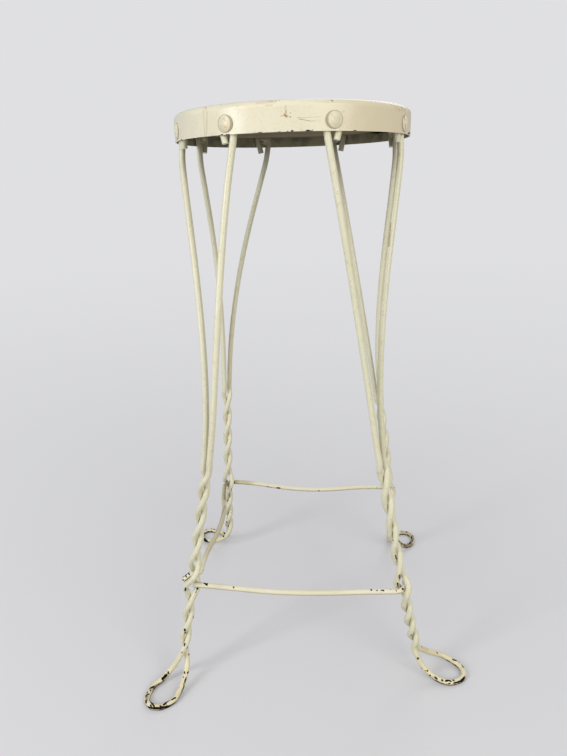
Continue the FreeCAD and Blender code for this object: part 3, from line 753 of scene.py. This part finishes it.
RING_SOIL_AND_SHADE = (
    # Partly painted shade: brown where the ring runs through the legs and along the left rung
    (BROWN, 0.8, (
        (227, 482, 227.4, 499.5, 3.0),
        (183, 577, 188.5, 573, 1.0),
        (392.6, 484, 395.6, 495, 3.2),
    )),
    (BROWN, 0.5, (
        (225, 506, 215, 532, 1.2),
    )),
)
FOOT_WARMTH = Fade(60 * MM, 15 * MM, 0.55)
FOOT_SOIL_AND_SHADE = Fade(20 * MM, 7 * MM)
FOOT_UNDERSIDE = Fade(0.45, -0.35)
SOIL_AND_SHADE_DEPTH = Spread(Noise(90, 3.0), 0.30, 0.95)
UNDER_SEAT = Fade(690 * MM, 752 * MM)
SEAT_SIDE = Fade(-0.25, 0.45)
UNDER_SEAT_SHARE = 0.55
FRECKLES = Patches(Noise(330, 3.0, 0.6), Fade(0.58, 0.70, 0.40))
LEFT_RUNG = Fade(SEAT.x - 90 * MM, SEAT.x - 112 * MM)
AWAY_FROM_HOOK = Fade(22 * MM, 60 * MM)
LEFT_RUNG_SHARE = 0.52
RING_UNDERSIDE_SOIL_AND_SHADE = Fade(0.25, -0.45, 0.42)


def leg_soil_and_shade(leg):
    """A foot is warm in tone and brown below, partly dirt and partly painted shade, and a leg's top has
    painted shade on the side of the seat.
    """
    def soiled_and_shaded(shader, base):
        height, rise = shader.part(shader.place, "Z"), shader.part(shader.facing, "Z")
        base = shader.blend(shader.fade(height, FOOT_WARMTH), base, FOOT_WARM)
        # Painted shade, partly dirt: the feet's undersides go brown
        low = shader.times(shader.fade(height, FOOT_SOIL_AND_SHADE), shader.fade(rise, FOOT_UNDERSIDE))
        base = shader.blend(shader.times(low, shader.spread(SOIL_AND_SHADE_DEPTH)), base, BROWN)
        # Painted shade: the tops of the legs go dull on the side that faces the seat's middle, under the
        # seat
        shade = shader.times(shader.fade(shader.facing_seat(), SEAT_SIDE), shader.fade(height, UNDER_SEAT))
        base = shader.blend(shader.times(shade, UNDER_SEAT_SHARE), base, SHADED)
        base = shader.blend(shader.patches(FRECKLES), base, STAIN)
        return marked(shader, base, "leg_wire_" + leg, LEG_SOIL_AND_SHADE[leg])
    return soiled_and_shaded


def ring_soil_and_shade(shader, base):
    """The left rung has painted shade, olive and duller than the rest, up to the hook at its front end,
    and the ring's underside is brown, partly dirt and partly painted shade.
    """
    # Painted shade: the left rung goes olive
    left = shader.fade(shader.part(shader.place, "X"), LEFT_RUNG)
    hook = shader.fade(shader.away_from(RING_CORNERS["front_left"]), AWAY_FROM_HOOK)
    base = shader.blend(shader.times(shader.times(left, hook), LEFT_RUNG_SHARE), base, OLIVE)
    # Painted shade, partly dirt: the ring's underside goes brown
    below = shader.fade(shader.part(shader.facing, "Z"), RING_UNDERSIDE_SOIL_AND_SHADE)
    base = shader.blend(below, base, BROWN)
    return marked(shader, base, "rung_ring", RING_SOIL_AND_SHADE)


# Rivets: each head has its share of tan, and the ones in front have marks of their own

RIVET_TAN_SHARES = {"rivet_2": 0.60, "rivet_3": 0.18, "rivet_4": 0.45}
OTHER_RIVET_TAN_SHARE = 0.20
HEAD_EDGE = Fade(RIVET_RADIUS - 0.7 * MM, RIVET_RADIUS + 0.1 * MM, 0.55)
RIVET_MARKS = {
    "rivet_2": (
        (STAIN, 0.45, (
            (223.4, 118.5, 226.2, 121, 0.8),
            (224, 126, 226.4, 128, 0.7),
        )),
    ),
    "rivet_3": (
        (STAIN, 0.35, (
            (331.6, 114.4, 334.8, 117.4, 1.1),
            (336, 116.5, 335, 119, 0.8),
        )),
    ),
    "rivet_4": (
        (RUST, 0.6, (
            (404.2, 115.5, 404.6, 120, 0.5),
            (405, 124, 405.2, 130, 0.5),
        )),
    ),
}


def rivet_paint(node):
    def marks(shader, base):
        edge = shader.fade(shader.away_from(RIVET_HEADS[node]), HEAD_EDGE)
        base = shader.blend(edge, base, GRIME)
        return marked(shader, base, node, RIVET_MARKS.get(node, ()))
    tint = (CREAM_WARM, RIVET_TAN_SHARES.get(node, OTHER_RIVET_TAN_SHARE))
    wear = even_wear(RIVET_WEAR_SHARE)
    return paint(node + "_paint", wear, tint=tint, extra=marks, crease_reach=FINE_CREASE_REACH)


# The board: painted on top, bare wood below. Its grain, brush marks and scuffs are noises at a
# stretched place.

GRAIN_STRETCH = (7, 90, 90)
GRAIN_BANDS = Noise(1.0, 6.0, 0.62)
GRAIN_HEIGHT = 0.25 * MM
DARK_GRAIN = Fade(0.35, 0.66)
GRAIN_LINES = Patches(Noise(4.0, 4.0, 0.7), Fade(0.52, 0.75, 0.6))
BOARD_TOP = Fade(-0.2, 0.2)
BOARD_BLOTCHES = Patches(Noise(8, 3.0), Fade(0.38, 0.68))
BOARD_WARM_BLOTCHES = Patches(Noise(30, 4.0, 0.6), Fade(0.50, 0.85))
BRUSH_STRETCH = (14, 260, 260)
BRUSH_MARKS = Noise(1.0, 3.0)
BRUSH_HEIGHT = 0.10 * MM
SCUFF_STRETCH = (60, 300, 60)
SCUFFS = Patches(Noise(1.0, 5.0, 0.7), Fade(0.56, 0.74, 0.45))
BOARD_CHIPS = Patches(Noise(120, 4.0, 0.6), Fade(0.705, 0.725))
BOARD_PAINT_ROUGHNESS = Spread(Noise(45, 3.0), 0.32, 0.50)
WOOD_ROUGHNESS = 0.78


def board_material():
    shader = Shader("board_paint_and_wood")
    grain_place = shader.stretched(GRAIN_STRETCH)
    bands = shader.noise(GRAIN_BANDS, grain_place)
    wood = shader.blend(shader.fade(bands, DARK_GRAIN), WOOD_LIGHT, WOOD_DARK)
    wood = shader.blend(shader.patches(GRAIN_LINES, grain_place), wood, WOOD_GRAIN)
    coat = shader.blend(shader.patches(BOARD_BLOTCHES), CREAM, CREAM_GREEN)
    coat = shader.blend(shader.patches(BOARD_WARM_BLOTCHES), coat, CREAM_WARM)
    coat = shader.blend(shader.patches(SCUFFS, shader.stretched(SCUFF_STRETCH)), coat, STAIN)
    top = shader.fade(shader.part(shader.facing, "Z"), BOARD_TOP)
    painted = shader.times(top, shader.math("SUBTRACT", 1.0, shader.patches(BOARD_CHIPS)))
    base = shader.blend(painted, wood, coat)
    brushed = shader.noise(BRUSH_MARKS, shader.stretched(BRUSH_STRETCH))
    height = shader.total([
        shader.times(bands, GRAIN_HEIGHT),
        shader.times(brushed, BRUSH_HEIGHT),
        shader.times(painted, PAINT_DEPTH),
    ])
    roughness = shader.between(painted, WOOD_ROUGHNESS, shader.spread(BOARD_PAINT_ROUGHNESS))
    return shader.finish(base, roughness, height)


# Each piece gets its material

WIRE_TINT = (WIRE_GREEN, 0.45)
WASHER_TINT = (DUST_AND_SHADE, 0.7)


def dress(node, material):
    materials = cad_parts[node].data.materials
    materials.clear()
    materials.append(material)


def dress_all():
    for leg in LEGS:
        node = "leg_wire_" + leg
        wear = wire_wear(RING_CORNERS[leg], FOOT_WEAR_SHARES[leg])
        chips = strokes_on(node, LEG_CHIPS[leg])
        dress(node, paint(node + "_paint", wear, chips, tint=WIRE_TINT, extra=leg_soil_and_shade(leg)))
    ring_chips = strokes_on("rung_ring", RING_CHIPS)
    dress("rung_ring", paint("ring_paint", ring_wear, ring_chips, extra=ring_soil_and_shade))
    edge_chips = strokes_on("seat_band", BAND_EDGE_CHIPS)
    band_paint = paint("band_paint", band_wear, edge_chips, extra=band_marks_and_shade,
                       crease_reach=FINE_CREASE_REACH, coat=BAND_COAT_SHARE)
    dress("seat_band", band_paint)
    dress("seat_board", board_material())
    washer_paint = paint("washer_paint", even_wear(WASHER_WEAR_SHARE), tint=WASHER_TINT)
    for node in RIVETS:
        dress(node, rivet_paint(node))
    for node in WASHERS:
        dress(node, washer_paint)


dress_all()

# Floor: pale and matt, it fades into the background away from the stool

BACKDROP = colour(224, 224, 226)
FLOOR_BOUNCE = colour(158, 155, 150)
FLOOR_RADIUS = 7.0
FLOOR_SIDES = 96
FLOOR_REACH = 0.8
NEAR_GLOW_SHARE = 0.12
FAR_GLOW = Fade(0.85, 0.10, 1 - NEAR_GLOW_SHARE)


def floor_material():
    shader = Shader("pale_floor")
    path = shader.nodes.new("ShaderNodeLightPath").outputs
    seen = shader.most([path["Is Camera Ray"], path["Is Glossy Ray"], path["Is Transmission Ray"]])
    away = shader.away_from((SEAT.x, SEAT.y, 0))
    near = shader.math("DIVIDE", FLOOR_REACH, shader.math("ADD", away, FLOOR_REACH))
    far = shader.times(shader.math("ADD", shader.fade(near, FAR_GLOW), NEAR_GLOW_SHARE), seen)
    matt = shader.nodes.new("ShaderNodeBsdfDiffuse")
    shader.put(matt.inputs["Color"], shader.blend(seen, FLOOR_BOUNCE, BACKDROP))
    glow = shader.nodes.new("ShaderNodeEmission")
    glow.inputs["Color"].default_value = BACKDROP
    mixed = shader.nodes.new("ShaderNodeMixShader")
    for socket, value in zip(mixed.inputs, (far, matt.outputs[0], glow.outputs[0])):
        shader.put(socket, value)
    output = shader.nodes.new("ShaderNodeOutputMaterial")
    shader.put(output.inputs["Surface"], mixed.outputs[0])
    return shader.material


def make_floor():
    spots = []
    for side in range(FLOOR_SIDES):
        turn = 2 * math.pi * side / FLOOR_SIDES
        spots.append((SEAT.x + FLOOR_RADIUS * math.cos(turn), SEAT.y + FLOOR_RADIUS * math.sin(turn), 0))
    mesh = bpy.data.meshes.new("floor")
    mesh.from_pydata(spots, [], [range(FLOOR_SIDES)])
    mesh.materials.append(floor_material())
    floor = bpy.data.objects.new("floor", mesh)
    bpy.context.scene.collection.objects.link(floor)


# Light: panels that face the stool, with their places and sizes in metres and power in watts,
# and a dim pale world

Panel = namedtuple("Panel", "name place width height power tone")

PANELS = (
    Panel("window", (-1.70, -1.50, 1.25), 0.6, 1.6, 24, colour(252, 251, 255)),
    Panel("key", (-0.90, -2.10, 1.55), 1.3, 2.0, 3, colour(255, 252, 250)),
    Panel("fill", (1.50, -1.90, 1.40), 1.6, 1.8, 28, colour(255, 249, 238)),
    Panel("back", (0.60, 1.80, 2.00), 1.6, 1.2, 10, colour(250, 250, 255)),
)
AIM_HEIGHT = 0.45
WORLD_TONE = colour(236, 238, 242)
WORLD_STRENGTH = 0.52


def make_light(panel):
    data = bpy.data.lights.new(panel.name, "AREA")
    data.shape = "RECTANGLE"
    data.size = panel.width
    data.size_y = panel.height
    data.energy = panel.power
    data.color = panel.tone[:3]
    light = bpy.data.objects.new(panel.name, data)
    light.location = panel.place
    aim = Vector((SEAT.x, SEAT.y, AIM_HEIGHT)) - Vector(panel.place)
    light.rotation_euler = aim.to_track_quat("-Z", "Y").to_euler()
    bpy.context.scene.collection.objects.link(light)


def make_world():
    world = bpy.data.worlds.new("studio")
    world.use_nodes = True
    nodes, links = world.node_tree.nodes, world.node_tree.links
    nodes.clear()
    path = nodes.new("ShaderNodeLightPath").outputs
    lit = nodes.new("ShaderNodeBackground")
    lit.inputs["Color"].default_value = WORLD_TONE
    lit.inputs["Strength"].default_value = WORLD_STRENGTH
    shown = nodes.new("ShaderNodeBackground")
    shown.inputs["Color"].default_value = BACKDROP
    seen = nodes.new("ShaderNodeMath")
    seen.operation = "MAXIMUM"
    links.new(path["Is Camera Ray"], seen.inputs[0])
    links.new(path["Is Transmission Ray"], seen.inputs[1])
    mixed = nodes.new("ShaderNodeMixShader")
    for socket, value in zip(mixed.inputs, (seen.outputs[0], lit.outputs[0], shown.outputs[0])):
        links.new(value, socket)
    output = nodes.new("ShaderNodeOutputWorld")
    links.new(mixed.outputs[0], output.inputs["Surface"])
    bpy.context.scene.world = world


make_floor()
make_world()
for panel in PANELS:
    make_light(panel)

bpy.context.scene.view_settings.view_transform = "Standard"
